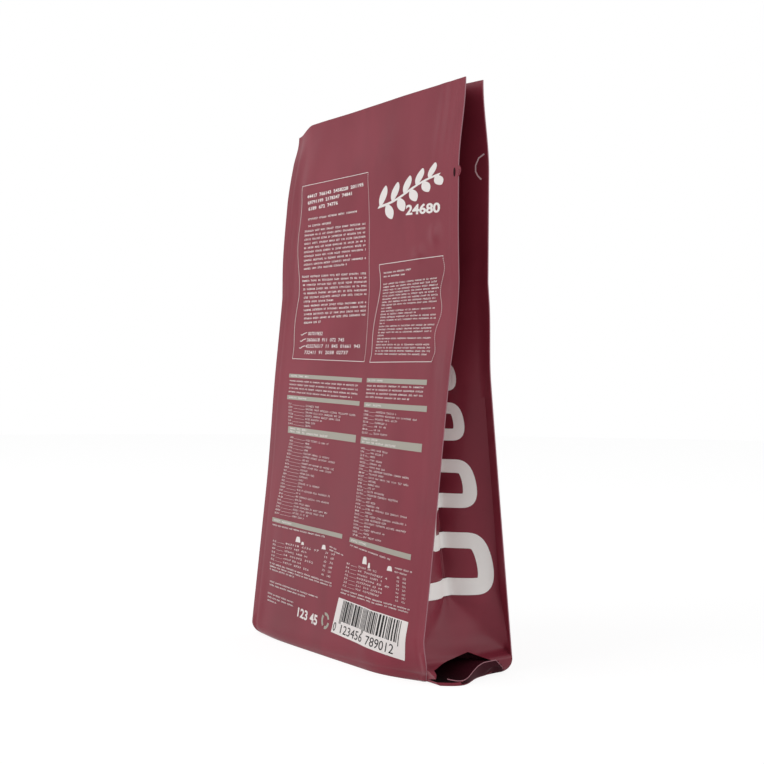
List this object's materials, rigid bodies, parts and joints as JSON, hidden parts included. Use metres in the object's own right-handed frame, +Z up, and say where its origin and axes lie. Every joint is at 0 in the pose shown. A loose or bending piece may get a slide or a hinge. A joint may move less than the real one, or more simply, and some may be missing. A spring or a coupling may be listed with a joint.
{
  "type": "side gusset feed bag",
  "caption": "Sealed stand-up bag of dry feed in matt printed film, with folded side gussets, a heat-sealed top and a flat base.",
  "frame": {"origin": "middle of the base, on the surface the bag stands on", "axes": "+Z up to the top seal, +X towards the gusset that the picture shows, -Y out of the printed back panel"},
  "size_m": [0.2016, 0.0783, 0.374],
  "materials": {
    "printed_film": "matt laminated film, printed deep red-brown",
    "white_print": "off-white ink under matt laminate",
    "grey_print": "warm grey ink under matt laminate",
    "dark_print": "near-black ink under matt laminate"
  },
  "bodies": {
    "root": {"gusset_bag": "printed_film"}
  },
  "joints": []
}
